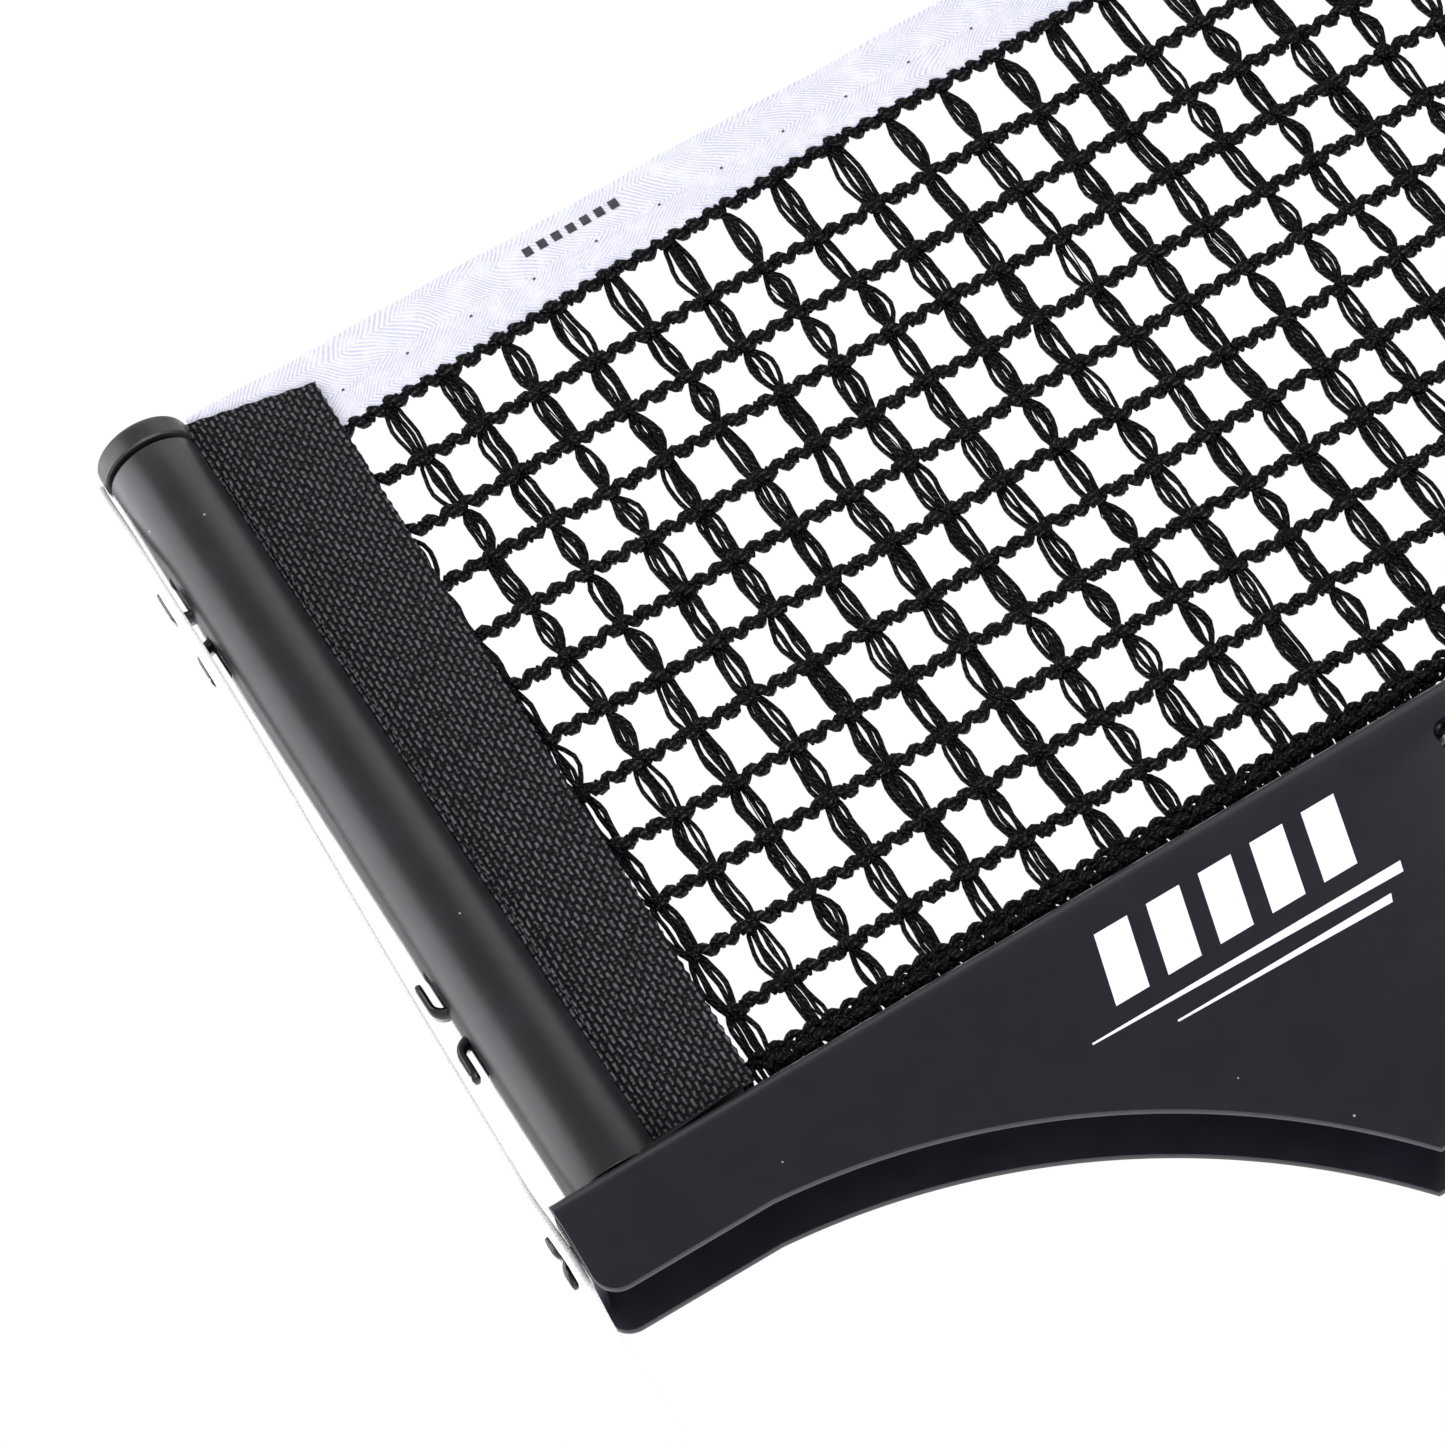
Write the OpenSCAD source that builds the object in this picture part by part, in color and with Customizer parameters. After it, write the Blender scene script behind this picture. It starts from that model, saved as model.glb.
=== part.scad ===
// Table tennis net clamp: an adjustable arm with its post and net, on a screw clamp for the table edge.
// Millimetres. The origin is on the table top, at the middle of the upper jaw's pad.
// +X points from the post over the table, +Z up, and -Y is the arm's printed front.

/* [Net and post] */
// Height of the net's top edge above the table
net_top = 152.5; // [150:0.5:155]
// Distance from the table edge to the post's axis
overhang = 152.5; // [150:0.5:160]
// Outside diameter of the post tube
post_d = 15; // [14:0.2:16]
// Wall of the post tube
post_wall = 1.2; // [1:0.1:1.6]
// Height of the white tape
tape_h = 14; // [10:0.5:16]
// Width of the fabric sleeve at its top
sleeve_w = 28; // [24:0.5:32]
// Diameter of the white cord
cord_d = 1.7; // [1.4:0.1:1.8]
// Diameter of the rolled-up net
roll_d = 50; // [40:1:60]

/* [Arm] */
// Width of the folded channel
arm_w = 17; // [16.6:0.1:18]
// Thickness of the arm's steel sheet
sheet = 1.5; // [1.2:0.1:1.6]
// Depth of the channel at its outer end
end_depth = 17.2; // [16:0.2:20]
// Depth of the leg beside the table
leg_depth = 61.7; // [61.5:0.1:64]
// Radius of the arched lower edge
arch_r = 119.5; // [119:0.5:121]

/* [Clamp] */
// Thickness of the table that the rest position grips
table_t = 25; // [18:1:30]
// Height of the throat below the table top
throat = 60; // [56:1:64]
// Length of the upper jaw
jaw_l = 48; // [40:1:52]
// Diameter of the clamp screw
screw_d = 8; // [7:0.5:8]
// Diameter of the knob
knob_d = 36; // [30:1:44]
// Diameter of the height wheel
wheel_d = 18.2; // [17.6:0.1:18.4]

/* [Hidden] */
$fn = 64;
// places along X
edge_x = -jaw_l / 2 - 1;
post_x = edge_x - overhang;
arm_z = 3.5;
post_r = post_d / 2;
half_w = arm_w / 2;
inner_w = half_w - sheet;
cord_r = cord_d / 2;
// the arm, measured from the post's axis and the arm's top
end_x = -11.1;
web_end_x = overhang - 3.5;
flange_end_x = overhang - 0.7;
arch_x = 4.3;
arch_z = -end_depth + 0.5 - arch_r;
arch_from = 15.8;
screw_x = overhang - 12.9;
window_w = 12.2;
window_top = -5.8;
window_h = 16.4;
guide_x = overhang - 23.5;
guide_zs = [-36, -54];
guide_d = 5;
saddle_z = -20;
// the post, measured from the arm's top
tube_top = net_top - arm_z - 5.7;
cap_gap = 0.9;
cap_h = 4;
slot_w = 3;
tongue_w = 3.6;
tongue_t = 1.2;
tongue_l = 6.4;
// height of a tongue's root, the way that its tip points, and its gap to the wall
tongues = [[117, 1, 2.3], [111.2, -1, 2.3], [37.4, 1, 1.3], [31.6, -1, 1.3]];
end_tongues = [[-5.6, 1, 1.0], [-6.0, -1, 1.5]];
end_tongue_l = 4.2;
rod_x = 3.4;
rod_d = 3;
rod_foot = 20;
// the net, measured from the arm's top
tape_top = net_top - arm_z;
tape_z = tape_top - tape_h;
tape_y = 1.25;
net_z = 3;
net_y = 0.9;
net_from = 10;
net_to = 248.5;
headline_z = tape_top - 2.8;
roll_x = 256;
roll_y = roll_d / 2 + net_y;
// the clamp frame, in the part's own frame
plate = 2;
cheek_y = inner_w - 0.3;
riser_x = edge_x - 3;
cheek_from = post_x + overhang - 30.5;
frame_bottom = -throat - 12;
frame_nose = 16;
cheek_top = -22.4;
arm_up = 5;
arm_down = 2.5;
nut_h = 12;
pad_t = 1.5;
pad_top = -table_t;
shaft_top = pad_top - 8.5;
shaft_end = -104;
knob_top = -86;
knob_h = 24;
pitch = 1.25;
// the cord's route from the cap, measured from the post's axis and the arm's top
cord_route = [
    [-8.6, 1.8, 146.4], [-8.8, 1.0, 142.6], [-8.9, -1.0, 135], [-9.2, -2.8, 126], [-9.3, -3.0, 118],
    [-9.3, -3.0, 109], [-9.5, -2.9, 98], [-10.0, -2.6, 82], [-10.6, -1.9, 64], [-11.2, -1.3, 46],
    [-11.6, -0.9, 30], [-12.0, -0.9, 14], [-12.2, -1.6, 5], [-12.1, -2.9, -0.5], [-12.05, -4.2, -5],
    [-12.0, -4.7, -8.5], [-12.15, -4.2, -13], [-12.5, -2.3, -20], [-12.0, -0.2, -29], [-11.1, 1.2, -42],
    [-10.4, 1.9, -57], [-10.0, 2.2, -76]];

// ---- helpers ----

module at_post() { translate([post_x, 0, arm_z]) children(); }

// a shape drawn in X and Z, extruded along Y from y0 to y1
module along_y(y0, y1) {
    translate([0, y1, 0]) rotate([90, 0, 0]) linear_extrude(height = y1 - y0) children();
}

// what is cut away to round a corner: sx and sz point from the corner into the material
module corner_cut(x, z, r, sx, sz) {
    translate([x, z]) scale([sx, sz]) difference() {
        translate([-1, -1]) square(r + 1);
        translate([r, r]) circle(r = r);
    }
}

module rounded_rect(x0, z0, w, h, r) {
    difference() {
        translate([x0, z0]) square([w, h]);
        corner_cut(x0, z0, r, 1, 1);
        corner_cut(x0 + w, z0, r, -1, 1);
        corner_cut(x0, z0 + h, r, 1, -1);
        corner_cut(x0 + w, z0 + h, r, -1, -1);
    }
}

// a tongue punched out of a sheet whose outer face is at x = -face, with its root at z = 0
module tongue(face, dir, gap, length) {
    outer = face + gap + tongue_t;
    intersection() {
        along_y(-tongue_w, tongue_w) scale([-1, dir]) polygon([
            [face - tongue_t, -0.6], [face, -0.6], [outer, 1.8], [outer, length],
            [face + gap, length], [face + gap, 2.4], [face - tongue_t, 0.9]]);
        rotate([0, -90, 0]) linear_extrude(height = outer + 1) scale([dir, 1]) union() {
            translate([-2, -tongue_w / 2]) square([length - tongue_w / 2 + 2, tongue_w]);
            translate([length - tongue_w / 2, 0]) circle(d = tongue_w);
        }
    }
}

// the opening that the tongue leaves in the sheet
module tongue_slot(dir, length) {
    along_y(-tongue_w / 2 - 0.25, tongue_w / 2 + 0.25)
        translate([-post_r - 6, dir > 0 ? 0 : -length - 0.4]) square([8, length + 0.4]);
}

// a rod along Z with a ring-shaped thread from z0 to z1
module threaded_rod(d, step, z0, z1) {
    turns = floor((z1 - z0) / step) - 1;
    deep = 0.55 * step;
    flanks = [for (i = [0 : turns - 1], k = [0 : 3])
        [d / 2 - [0, 0, deep, deep][k], z0 + step * (i + 1 + [0, 0.15, 0.5, 0.65][k])]];
    rotate_extrude() polygon(concat([[0, z0], [d / 2 - 1, z0], [d / 2, z0 + 1]], flanks,
        [[d / 2, z1 - 1], [d / 2, z1], [0, z1]]));
}

// ---- the arm ----

module arm_outline() {
    difference() {
        translate([end_x, -leg_depth]) square([flange_end_x - end_x, leg_depth]);
        translate([end_x - 1, -leg_depth - 1]) square([arch_from - end_x + 1, leg_depth + 1 - end_depth]);
        intersection() {
            translate([arch_x, arch_z]) circle(r = arch_r, $fn = 180);
            translate([arch_from - 0.01, -leg_depth - 1]) square([120, leg_depth]);
        }
        corner_cut(end_x, -end_depth, 4.3, 1, 1);
        corner_cut(flange_end_x, -leg_depth, 6, -1, 1);
        rounded_rect(screw_x - window_w / 2, window_top - window_h, window_w, window_h, 2.2);
    }
}

module channel_section() {
    difference() {
        translate([-half_w, -80]) square([arm_w, 80]);
        corner_cut(-half_w, 0, 2.4, 1, -1);
        corner_cut(half_w, 0, 2.4, -1, -1);
        difference() {
            translate([-inner_w, -81]) square([2 * inner_w, 81 - sheet]);
            corner_cut(-inner_w, -sheet, 0.9, 1, -1);
            corner_cut(inner_w, -sheet, 0.9, -1, -1);
        }
    }
}

module arm_bracket() {
    color([0.12, 0.12, 0.13]) at_post() difference() {
        union() {
            intersection() {
                along_y(-half_w - 1, half_w + 1) arm_outline();
                translate([end_x - 1, 0, 0]) rotate([90, 0, 90])
                    linear_extrude(height = flange_end_x - end_x + 2) channel_section();
            }
            difference() {
                translate([end_x, -half_w + 0.7, -12.5]) cube([sheet, arm_w - 1.4, 11.8]);
                for (t = end_tongues)
                    translate([end_x + post_r, 0, t[0]]) tongue_slot(t[1], end_tongue_l);
            }
            for (t = end_tongues)
                translate([end_x + post_r, 0, t[0]]) tongue(post_r, t[1], t[2], end_tongue_l);
        }
        // the web stops short of the clamp frame's riser
        translate([web_end_x, -inner_w, -sheet - 1]) cube([10, 2 * inner_w, sheet + 2]);
        translate([0, 0, -5]) cylinder(d = 6.4, h = 10);
        for (z = guide_zs)
            translate([guide_x, half_w + 1, z]) rotate([90, 0, 0]) cylinder(d = guide_d, h = arm_w + 2);
    }
}

module guide_rivets() {
    color([0.55, 0.56, 0.58]) at_post() for (z = guide_zs) translate([guide_x, 0, z]) {
        rotate([90, 0, 0]) cylinder(d = guide_d, h = arm_w, center = true);
        for (s = [-1, 1])
            rotate([-90 * s, 0, 0]) translate([0, 0, half_w]) intersection() {
                cylinder(r = 4, h = 1.6);
                translate([0, 0, -4.6]) sphere(r = 6.1);
            }
    }
}

module screw_saddle() {
    color([0.45, 0.46, 0.48]) at_post() difference() {
        translate([screw_x - 7, -inner_w, saddle_z - 1.5]) cube([13.5, 2 * inner_w, 1.5]);
        translate([screw_x, 0, saddle_z - 3]) cylinder(d = 8.16, h = 5);
    }
}

// ---- the post ----

module post_tube() {
    color([0.10, 0.10, 0.11]) at_post() {
        difference() {
            cylinder(r = post_r, h = tube_top);
            translate([0, 0, -1]) cylinder(r = post_r - post_wall, h = tube_top + 2);
            translate([0, -slot_w / 2, -1]) cube([post_r + 1, slot_w, tube_top + 2]);
            for (t = tongues) translate([0, 0, t[0]]) tongue_slot(t[1], tongue_l);
        }
        for (t = tongues) translate([0, 0, t[0]]) tongue(post_r, t[1], t[2], tongue_l);
    }
}

module post_plug() {
    color([0.6, 0.6, 0.62]) at_post() difference() {
        cylinder(r = post_r - post_wall, h = 18);
        translate([0, 0, -1]) cylinder(d = 6, h = 16);
    }
}

module post_washer() {
    color([0.7, 0.7, 0.72]) at_post() difference() {
        translate([0, 0, -sheet - 1.2]) cylinder(d = 12, h = 1.2);
        translate([0, 0, -sheet - 2]) cylinder(d = 6.4, h = 3);
    }
}

module post_screw() {
    color([0.7, 0.7, 0.72]) at_post() difference() {
        union() {
            translate([0, 0, -sheet - 4.7]) cylinder(d = 10.5, h = 3.5);
            translate([0, 0, -sheet - 1.3]) cylinder(d = 6, h = 15);
        }
        translate([0, 0, -sheet - 5.7]) cylinder(d = 4.6, h = 3.4, $fn = 6);
    }
}

module post_cap() {
    head_z = tube_top + cap_gap;
    color([0.13, 0.13, 0.14]) at_post() difference() {
        rotate_extrude() polygon([
            [0, tube_top - 7], [post_r - post_wall - 0.5, tube_top - 7], [post_r - post_wall, tube_top - 6.5],
            [post_r - post_wall, tube_top], [post_r - 0.6, tube_top], [post_r - 0.6, head_z],
            [post_r + 0.1, head_z], [post_r + 0.3, head_z + 0.3], [post_r + 0.3, head_z + cap_h - 0.9],
            [post_r, head_z + cap_h - 0.3], [post_r - 0.7, head_z + cap_h], [0, head_z + cap_h]]);
        // the cord's way through the head, and its outlet
        translate([-post_r - 1, 0, headline_z]) rotate([0, 90, 0]) cylinder(d = cord_d + 0.1, h = 20);
    }
}

// ---- the net ----

module sleeve_rod() {
    color([0.82, 0.82, 0.8]) at_post()
        translate([rod_x, 0, rod_foot]) cylinder(d = rod_d, h = tube_top - 8 - rod_foot);
}

module sleeve_leaf() {
    top = tape_top - 1.9;
    polygon([[8.2, 1], [sleeve_w - 3.6, 1], [sleeve_w, top - 4.5], [8.4, top]]);
}

module fabric_sleeve() {
    leaf = 0.5;
    color([0.11, 0.11, 0.11]) at_post() {
        difference() {
            union() {
                for (s = [-1, 1])
                    along_y(s * (tape_y + 0.05 + leaf / 2) - leaf / 2, s * (tape_y + 0.05 + leaf / 2) + leaf / 2)
                        sleeve_leaf();
                translate([8.2, -tape_y - 0.3, 1]) cube([1.2, 2 * tape_y + 0.6, tape_z - 2]);
                translate([rod_x + 1.6, -0.6, 1]) cube([4.4, 1.2, tape_z - 1.5]);
                translate([rod_x, 0, rod_foot]) cylinder(d = rod_d + 1.2, h = tube_top - 9 - rod_foot);
            }
            translate([rod_x, 0, rod_foot - 1]) cylinder(d = rod_d, h = tube_top);
            // clear of the plug in the foot of the tube
            translate([0, 0, -1]) cylinder(r = post_r - post_wall, h = rod_foot - 0.5);
        }
    }
}

module net_panel() {
    color([0.05, 0.05, 0.05]) at_post()
        along_y(-net_y, net_y) translate([net_from, net_z]) square([net_to - net_from, tape_z - net_z]);
}

module net_tape() {
    color([0.93, 0.93, 0.96]) at_post() difference() {
        translate([post_r + 0.8, -tape_y, tape_z]) cube([net_to - post_r - 0.8, 2 * tape_y, tape_h]);
        translate([0, 0, headline_z]) rotate([0, 90, 0]) cylinder(d = cord_d + 0.1, h = net_to + 10);
    }
}

module headline_cord() {
    color([0.9, 0.9, 0.9]) at_post() translate([-post_r, 0, headline_z]) rotate([0, 90, 0])
        cylinder(d = cord_d, h = net_to + post_r - 1);
}

module net_roll() {
    color([0.06, 0.06, 0.06]) at_post() translate([roll_x, roll_y, net_z]) difference() {
        cylinder(d = roll_d - 0.2, h = tape_top - net_z);
        translate([0, 0, -1]) cylinder(d = 7, h = tape_top);
    }
}

module roll_strap() {
    color([0.15, 0.15, 0.16]) at_post() translate([roll_x, roll_y, 66]) difference() {
        cylinder(d = roll_d + 2, h = 16);
        translate([0, 0, -1]) cylinder(d = roll_d - 0.1, h = 18);
    }
}

// ---- the tension cord ----

// a Catmull-Rom point on span i of the route, t from 0 to 1
function route_at(p, i, t) =
    let (a = p[max(i - 1, 0)], b = p[i], c = p[i + 1], d = p[min(i + 2, len(p) - 1)])
    0.5 * (2 * b + (c - a) * t + (2 * a - 5 * b + 4 * c - d) * t * t + (3 * b - a - 3 * c + d) * t * t * t);

// the points of a ring with n sides round the route's point i, square to the route
function ring(path, i, r, n) =
    let (ahead = path[min(i + 1, len(path) - 1)] - path[max(i - 1, 0)],
        dir = ahead / norm(ahead),
        side = cross(dir, [1, 0, 0]) / norm(cross(dir, [1, 0, 0])),
        up = cross(side, dir))
    [for (k = [0 : n - 1]) path[i] + r * (cos(360 * k / n) * side + sin(360 * k / n) * up)];

module swept_tube(path, r, n) {
    last = len(path) - 1;
    polyhedron(
        points = [for (i = [0 : last], p = ring(path, i, r, n)) p],
        faces = concat(
            [[for (k = [n - 1 : -1 : 0]) k]],
            [for (i = [0 : last - 1], k = [0 : n - 1])
                [i * n + k, i * n + (k + 1) % n, (i + 1) * n + (k + 1) % n, (i + 1) * n + k]],
            [[for (k = [0 : n - 1]) last * n + k]]));
}

module tension_cord() {
    spans = len(cord_route) - 2;
    path = concat([for (i = [0 : spans], j = [0 : 2]) route_at(cord_route, i, j / 3)],
        [cord_route[spans + 1]]);
    color([0.95, 0.95, 0.94]) at_post() swept_tube(path, cord_r, 8);
}

module cord_knot() {
    color([0.93, 0.93, 0.92]) at_post()
        translate(cord_route[len(cord_route) - 1] + [0, 0, -2.2]) sphere(r = 2.1, $fn = 32);
}

// ---- the height adjuster ----

module height_screw() {
    color([0.62, 0.63, 0.65]) at_post() translate([screw_x, 0, 0]) difference() {
        union() {
            threaded_rod(8, pitch, -46, -3);
            translate([0, 0, -3.6]) cylinder(d = 9, h = 1.8);
        }
        translate([-10, 0, saddle_z + 4.1]) rotate([0, 90, 0]) cylinder(d = 2, h = 20);
    }
}

module height_wheel() {
    ridges = 8;
    rim = wheel_d / 2;
    top = 1.5 * ridges;
    color([0.35, 0.35, 0.36]) at_post() translate([screw_x, 0, saddle_z + 0.4]) difference() {
        rotate_extrude() polygon(concat([[0, 0]],
            [for (i = [0 : ridges - 1], k = [0 : 3])
                [rim - [0.5, 0, 0, 0.5][k], 1.5 * (i + [0, 0.3, 0.7, 1][k])]],
            [[0, top]]));
        translate([0, 0, -1]) cylinder(d = 8, h = top + 2);
        translate([-20, 0, 3.7]) rotate([0, 90, 0]) cylinder(d = 2, h = 40);
    }
}

module wheel_pin() {
    color([0.65, 0.65, 0.67]) at_post() translate([screw_x - 8, 0, saddle_z + 4.1]) rotate([0, 90, 0])
        cylinder(d = 2, h = 16);
}

module screw_clip() {
    color([0.5, 0.5, 0.52]) at_post() translate([screw_x, 0, saddle_z - 2.8]) difference() {
        cylinder(d = 12, h = 1);
        translate([0, 0, -1]) cylinder(d = 8, h = 3);
    }
}

// ---- the clamp frame ----

// the tenon that holds a nut block in the cheeks
module tenons(x, z, grow) {
    for (s = [-1, 1])
        translate([x - 3 - grow, s > 0 ? cheek_y - plate : -cheek_y, z - 3 - grow])
            cube([6 + 2 * grow, plate, 6 + 2 * grow]);
}

module cheek_outline() {
    difference() {
        union() {
            translate([cheek_from, frame_bottom]) square([frame_nose - cheek_from, -throat - frame_bottom]);
            translate([cheek_from, frame_bottom]) square([riser_x + plate - cheek_from, cheek_top - frame_bottom]);
            translate([riser_x - 1.5, cheek_top - 1]) square([plate + 1.5, -0.5 - cheek_top]);
        }
        corner_cut(cheek_from, frame_bottom, 8, 1, 1);
        corner_cut(frame_nose, frame_bottom, 6, -1, 1);
        corner_cut(cheek_from, cheek_top, 3, 1, -1);
        for (z = guide_zs)
            guide_slot(post_x + guide_x, z + arm_z);
    }
}

module guide_slot(x, z) {
    r = guide_d / 2 + 0.06;
    translate([x - r, z - arm_down]) square([2 * r, arm_up + arm_down]);
    for (dz = [-arm_down, arm_up])
        translate([x, z + dz]) circle(r = r);
}

module jaw_tongue_outline() {
    difference() {
        union() {
            translate([riser_x, -cheek_y]) square([8, 2 * cheek_y]);
            translate([edge_x + 1, -12]) square([jaw_l + 0.5, 24]);
        }
        corner_cut(edge_x + 1, -12, 3, 1, 1);
        corner_cut(edge_x + 1, 12, 3, 1, -1);
        corner_cut(edge_x + 1.5 + jaw_l, -12, 5, -1, 1);
        corner_cut(edge_x + 1.5 + jaw_l, 12, 5, -1, -1);
    }
}

module clamp_frame() {
    color([0.13, 0.13, 0.14]) difference() {
        union() {
            for (s = [-1, 1])
                along_y(s > 0 ? cheek_y - plate : -cheek_y, s > 0 ? cheek_y : plate - cheek_y) cheek_outline();
            translate([riser_x, -cheek_y, -throat - plate]) cube([plate, 2 * cheek_y, throat + plate + arm_z]);
            translate([riser_x, -cheek_y, -throat - plate]) cube([frame_nose - riser_x, 2 * cheek_y, plate]);
            translate([0, 0, arm_z - plate]) linear_extrude(height = plate) jaw_tongue_outline();
        }
        translate([0, 0, -throat - plate - 1]) cylinder(d = screw_d + 0.6, h = plate + 2);
        tenons(post_x + screw_x, -28.5, 0);
        tenons(0, -throat - plate - 5, 0);
    }
}

module jaw_pad() {
    color([0.08, 0.08, 0.08]) linear_extrude(height = arm_z - plate)
        rounded_rect(-jaw_l / 2, -12.8, jaw_l, 25.6, 3);
}

module edge_pad() {
    color([0.08, 0.08, 0.08]) translate([riser_x + plate, -cheek_y + 0.7, -throat + 6])
        cube([1, 2 * cheek_y - 1.4, throat - 9]);
}

module height_nut() {
    x = post_x + screw_x;
    color([0.6, 0.6, 0.62]) difference() {
        union() {
            translate([x - 6, plate - cheek_y, -34.5]) cube([12, 2 * (cheek_y - plate), nut_h]);
            tenons(x, -28.5, 0);
        }
        translate([x, 0, -40]) cylinder(d = 8.1, h = 30);
    }
}

module clamp_nut() {
    color([0.6, 0.6, 0.62]) difference() {
        union() {
            translate([-7, plate - cheek_y, frame_bottom]) cube([14, 2 * (cheek_y - plate), 10]);
            tenons(0, -throat - plate - 5, 0);
        }
        translate([0, 0, frame_bottom - 5]) cylinder(d = screw_d + 0.1, h = 20);
    }
}

// ---- the clamp screw ----

module pad_cup() {
    color([0.5, 0.5, 0.52]) translate([0, 0, pad_top - pad_t]) rotate_extrude() polygon([
        [0, 0], [14, 0], [14, -1.6], [13.6, -2], [7.5, -2], [7, -2.5], [7, -6.5], [3.08, -6.5],
        [3.08, -4.6], [4.3, -4.6], [4.3, -1.6], [0, -1.6]]);
}

module pad_rubber() {
    color([0.09, 0.09, 0.09]) translate([0, 0, pad_top - pad_t]) cylinder(r = 13, h = pad_t);
}

module clamp_screw() {
    color([0.62, 0.63, 0.65]) difference() {
        union() {
            threaded_rod(screw_d, pitch, shaft_end, shaft_top);
            translate([0, 0, shaft_top - 1]) cylinder(d = 6, h = 4);
            translate([0, 0, shaft_top + 2.6]) cylinder(d = 8, h = 2.6);
        }
        translate([-20, 0, knob_top - 5]) rotate([0, 90, 0]) cylinder(d = 3, h = 40);
    }
}

module clamp_knob() {
    lobes = 6;
    color([0.1, 0.1, 0.11]) translate([0, 0, knob_top - knob_h]) difference() {
        rotate_extrude() polygon([
            [0, 0], [knob_d / 2 - 2, 0], [knob_d / 2, 2], [knob_d / 2, 11], [knob_d / 2 - 3, 14.5],
            [9.5, 16], [9, knob_h - 0.8], [8.2, knob_h], [0, knob_h]]);
        for (i = [0 : lobes - 1])
            rotate(360 * (i + 0.5) / lobes) translate([knob_d / 2 + 4, 0, -1]) cylinder(r = 7, h = 16.5);
        translate([0, 0, 6]) cylinder(d = screw_d, h = knob_h);
        translate([-20, 0, knob_h - 5]) rotate([0, 90, 0]) cylinder(d = 3, h = 40);
        translate([0, 0, -1]) cylinder(d = 15, h = 2.4);
    }
}

module knob_pin() {
    color([0.65, 0.65, 0.67]) translate([-9, 0, knob_top - 5]) rotate([0, 90, 0]) cylinder(d = 3, h = 18);
}

module knob_cap() {
    color([0.3, 0.3, 0.31]) translate([0, 0, knob_top - knob_h]) cylinder(d = 14.8, h = 1.4);
}

arm_bracket();
post_tube();
post_plug();
post_washer();
post_screw();
post_cap();
guide_rivets();
screw_saddle();
sleeve_rod();
fabric_sleeve();
net_panel();
net_tape();
headline_cord();
net_roll();
roll_strap();
tension_cord();
cord_knot();
height_screw();
height_wheel();
wheel_pin();
screw_clip();
clamp_frame();
jaw_pad();
edge_pad();
height_nut();
clamp_nut();
pad_cup();
pad_rubber();
clamp_screw();
clamp_knob();
knob_pin();
knob_cap();
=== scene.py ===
"""Looks of the table tennis net clamp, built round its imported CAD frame.

Lengths are in millimetres, measured from the post's foot on the arm, unless a comment says otherwise.
"""

import math
import random

import bmesh
import bpy
from mathutils import Matrix, Vector


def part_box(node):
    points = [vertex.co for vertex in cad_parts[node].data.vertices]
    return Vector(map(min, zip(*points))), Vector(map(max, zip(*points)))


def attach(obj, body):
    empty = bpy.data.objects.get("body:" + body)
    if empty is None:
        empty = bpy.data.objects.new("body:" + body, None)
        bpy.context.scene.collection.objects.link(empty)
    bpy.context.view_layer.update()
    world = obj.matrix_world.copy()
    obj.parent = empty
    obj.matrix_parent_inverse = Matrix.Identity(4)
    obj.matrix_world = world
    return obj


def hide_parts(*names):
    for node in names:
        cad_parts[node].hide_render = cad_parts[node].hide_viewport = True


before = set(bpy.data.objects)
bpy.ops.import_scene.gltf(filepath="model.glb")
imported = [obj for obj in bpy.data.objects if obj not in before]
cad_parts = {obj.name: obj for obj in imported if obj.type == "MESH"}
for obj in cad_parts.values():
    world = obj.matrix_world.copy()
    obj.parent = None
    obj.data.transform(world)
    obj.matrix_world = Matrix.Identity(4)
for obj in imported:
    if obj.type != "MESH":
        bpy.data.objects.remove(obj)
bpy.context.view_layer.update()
random.seed(7)
MM = 0.001
TAU = math.tau

cap_lo, cap_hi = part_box("post_cap")
POST_X = (cap_lo[0] + cap_hi[0]) / 2 / MM
ARM_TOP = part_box("post_tube")[0][2] / MM


def at(x, y, z):
    """A place measured from the post's foot, in metres in the row frame."""
    return Vector((POST_X + x, y, ARM_TOP + z)) * MM


# ---- camera ----

LENS, SENSOR = 134.5, 36
AZIMUTH, ELEVATION, ROLL = -10.9, -27.1, 34.9
TARGET, DISTANCE = (50.5, 0, 56.3), 801


def towards(azimuth, elevation):
    """The direction from the object to a viewer or light; azimuth 0 is the front and 90 the right."""
    a, e = math.radians(azimuth), math.radians(elevation)
    return Vector((math.sin(a) * math.cos(e), -math.cos(a) * math.cos(e), math.sin(e)))


back, roll = towards(AZIMUTH, ELEVATION), math.radians(ROLL)
right = (-back).cross(Vector((0, 0, 1))).normalized()
up = right.cross(-back)
turned_right = right * math.cos(roll) - up * math.sin(roll)
turned_up = right * math.sin(roll) + up * math.cos(roll)
camera = bpy.data.objects.new("camera", bpy.data.cameras.new("camera"))
bpy.context.scene.collection.objects.link(camera)
camera.data.lens = LENS
camera.data.sensor_width = SENSOR
camera.data.clip_start = 0.05
camera.matrix_world = Matrix.LocRotScale(
    at(*TARGET) + back * DISTANCE * MM,
    Matrix((turned_right, turned_up, back)).transposed(),
    None,
)
bpy.context.scene.camera = camera


# ---- materials ----


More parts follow.
